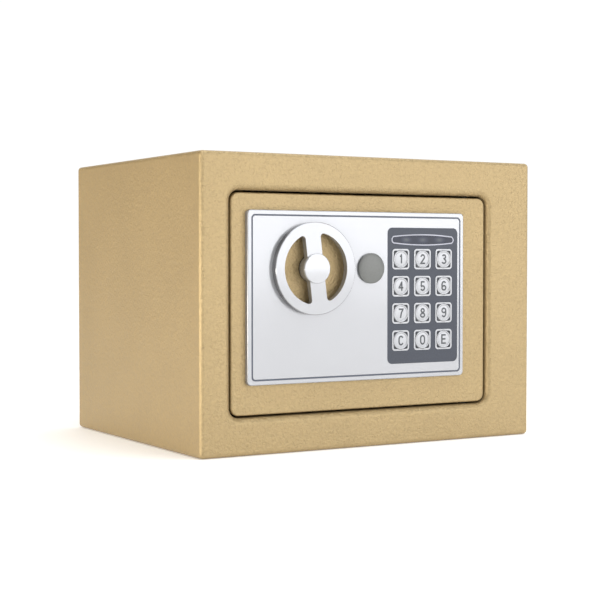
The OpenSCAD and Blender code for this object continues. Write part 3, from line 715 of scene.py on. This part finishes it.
def legend_strokes(label):
    w, h = PEN_W, PEN_H
    bowl = 1.28
    six = [arc(0, bowl - h, w, bowl, 180, -180, 28),
           [(-w, bowl - h), (-w, 0.55)] + arc(0, 0.55, w, h - 0.55, 180, 35)[1:]]
    oval = arc(0, 0.7, w, h - 0.7, 0, 180) + arc(0, -0.7, w, h - 0.7, 180, 360)
    oval.append(oval[0])
    return {
        "0": [oval],
        "1": [[(-0.85, 1.45), (-0.2, 1.8), (0.2, h), (0.2, -h)]],
        "2": [arc(0, h - 1.25, 1.22, 1.25, 175, -30) + [(-w, -h), (w + 0.3, -h)]],
        "3": [arc(0, h - 1.07, 1.14, 1.07, 160, -90) + arc(0, 1.16 - h, w, 1.16, 90, -160)[1:]],
        "4": [[(0.5, -h - 0.2), (0.5, h), (-w, -0.85), (w + 0.2, -0.85)]],
        "5": [[(w, h), (-0.95, h), (-1.1, 0.1)] + arc(-0.04, bowl - h, 1.3, bowl, 130, -158)],
        "6": six,
        "7": [[(-w - 0.2, h), (w, h), (0.2, 0.3), (-0.4, -h - 0.2)]],
        "8": [arc(0, h - 1.07, 1.1, 1.07, -90, 270, 24), arc(0, 1.16 - h, w, 1.16, 90, 450, 24)],
        "9": turned_over(six),
        "c": [arc(0, 0.7, w, h - 0.7, 25, 180) + arc(0, -0.7, w, h - 0.7, 180, 335)],
        "e": [[(w + 0.1, h), (-w, h), (-w, -h), (w + 0.2, -h)], [(-w, 0.08), (w - 0.1, 0.08)]],
    }[label]


def finer(points, step=0.4):
    """The same path with no repeated points and no long gaps, so that it can lie on a dome."""
    path = [points[0]]
    for p in points[1:]:
        gap = math.dist(path[-1], p)
        parts = math.ceil(gap / step - 1e-6)
        a = path[-1]
        for k in range(1, parts + 1):
            path.append((a[0] + (p[0] - a[0]) * k / parts, a[1] + (p[1] - a[1]) * k / parts))
    return path


def stroke_sides(points):
    """Left and right edges of a pen stroke, mitred at its corners."""
    closed = math.dist(points[0], points[-1]) < 1e-6
    points = finer(points)
    if closed:
        points = points[:-1]
    count = len(points)
    left, right = [], []
    for i, p in enumerate(points):
        before = points[i - 1] if i > 0 or closed else None
        after = points[(i + 1) % count] if i < count - 1 or closed else None
        normals = []
        for a, b in ((before, p), (p, after)):
            if a is not None and b is not None:
                along = Vector((b[0] - a[0], b[1] - a[1])).normalized()
                normals.append(Vector((-along.y, along.x)))
        middle = sum(normals, Vector((0.0, 0.0))).normalized()
        reach = PEN / 2 / max(0.6, middle.dot(normals[0]))
        left.append(Vector(p) + middle * reach)
        right.append(Vector(p) - middle * reach)
    return left, right, closed


def add_legend(label, at, face_y, body, ink):
    """One printed character, laid on the key's domed top."""
    bm = bmesh.new()
    for stroke in legend_strokes(label):
        left, right, closed = stroke_sides(stroke)
        rows = []
        for side in (left, right):
            for sink in INK_DEPTHS:
                row = []
                for p in side:
                    y = face_y + key_depth(p.length * MM) + sink
                    row.append(bm.verts.new((at[0] + p.x * MM, y, at[1] + p.y * MM)))
                rows.append(row)
        loops = [(rows[0], rows[2]), (rows[2], rows[3]), (rows[3], rows[1]), (rows[1], rows[0])]
        count = len(left)
        for i in range(count if closed else count - 1):
            j = (i + 1) % count
            for a, b in loops:
                bm.faces.new((a[i], a[j], b[j], b[i]))
        if not closed:
            for i in (0, count - 1):
                bm.faces.new((rows[0][i], rows[1][i], rows[3][i], rows[2][i]))
    mesh_piece("legend_" + label, bm, ink, body)


# ---------- stage ----------


def add_area_light(name, at, aim, width, height, power, color=(1.0, 1.0, 1.0)):
    data = bpy.data.lights.new(name, "AREA")
    data.shape = "RECTANGLE"
    data.size = width
    data.size_y = height
    data.energy = power
    data.color = color
    light = bpy.data.objects.new(name, data)
    bpy.context.scene.collection.objects.link(light)
    light.location = at
    light.rotation_euler = (Vector(aim) - Vector(at)).to_track_quat("-Z", "Y").to_euler()
    light.visible_camera = False


def add_sun(strength):
    """Soft light from overhead that keeps the floor white."""
    data = bpy.data.lights.new("overhead", "SUN")
    data.energy = strength
    data.angle = math.radians(70.0)
    light = bpy.data.objects.new("overhead", data)
    bpy.context.scene.collection.objects.link(light)


def add_world():
    """Pale studio: bright behind the safe and to its right, warmer to its left, dim in front."""
    world = bpy.data.worlds.new("studio")
    bpy.context.scene.world = world
    world.use_nodes = True
    tree = world.node_tree
    coords = tree.nodes.new("ShaderNodeTexCoord")
    split = tree.nodes.new("ShaderNodeSeparateXYZ")
    tree.links.new(coords.outputs["Generated"], split.inputs["Vector"])

    def spread(axis, low, high):
        made = tree.nodes.new("ShaderNodeMapRange")
        made.interpolation_type = "SMOOTHSTEP"
        made.inputs["From Min"].default_value = low
        made.inputs["From Max"].default_value = high
        tree.links.new(split.outputs[axis], made.inputs["Value"])
        return made.outputs["Result"]

    warm_low, warm_high = (0.66, 0.54, 0.375), (0.285, 0.22, 0.122)
    bright, dim = (1.03, 1.03, 1.03), (0.31, 0.31, 0.31)
    left = blend(tree, spread("Z", 0.0, 0.5), warm_low, warm_high)
    around = blend(tree, spread("X", -0.3, 0.28), left, bright)
    whole = blend(tree, spread("Y", -0.45, 0.0), dim, around)
    tree.links.new(whole, tree.nodes["Background"].inputs["Color"])


def add_floor():
    """White paper just under the safe; a faint glow of its own keeps the shadow soft."""
    half_side, clearance = 6.0, 0.2 * MM
    data = bpy.data.meshes.new("floor")
    bm = bmesh.new()
    bmesh.ops.create_grid(bm, x_segments=1, y_segments=1, size=half_side)
    bm.to_mesh(data)
    bm.free()
    floor = bpy.data.objects.new("floor", data)
    floor.location.z = cad_box[0][2] - clearance
    bpy.context.scene.collection.objects.link(floor)
    s = Shader("floor_paper", (0.97, 0.97, 0.97), 0.8)
    s.set("Emission Color", (1.0, 1.0, 1.0, 1.0))
    s.set("Emission Strength", 0.20)
    s.link(s.ramp(s.noise(3.0, 2.0), [(0.3, (0.96, 0.96, 0.96)), (0.7, (0.98, 0.98, 0.98))]), "Base Color")
    data.materials.append(s.mat)


def add_stage():
    add_world()
    add_floor()
    add_sun(1.12)
    soft_at = Vector((0.85, -1.45, 0.66))
    level_turn = Vector((-0.507, 0.862, 0.0))
    add_area_light("soft_box", soft_at, soft_at + level_turn, 1.7, 1.2, 15.6)
    add_area_light("strip", (-0.8, -1.5, 0.5), (-0.1, -0.09, 0.09), 0.12, 1.0, 1.5)
    add_area_light("top_box", (0.05, -0.42, 1.25), (0.0, -0.09, 0.1), 0.9, 0.4, 3.7, (0.9, 0.96, 1.0))
    add_area_light("front_fill", (-1.0, -0.9, 0.25), (-0.05, -0.09, 0.1), 0.7, 0.7, 1.2)
    add_area_light("left_card", (-0.8, -0.1, 0.02), (-0.115, 0.0, 0.03), 0.8, 0.15, 4.7, (1.0, 0.95, 0.86))
    bpy.context.scene.view_settings.view_transform = "Standard"


# ---------- build ----------

add_camera()
materials = make_materials()
for part in frame["record"]["subparts"]:
    dress(part["node"], materials[part["material_slot"]])
dress("front_frame", materials["gold_frame"])
dress("knob", materials["silver_knob"])
add_fascia_line(materials)
add_lens_outline(materials)
add_knob_boss(materials)
add_floor_mat(materials)
for key_label in KEYS:
    add_key(key_label, materials)
    add_painted_key_shade(key_label, materials)
add_stage()
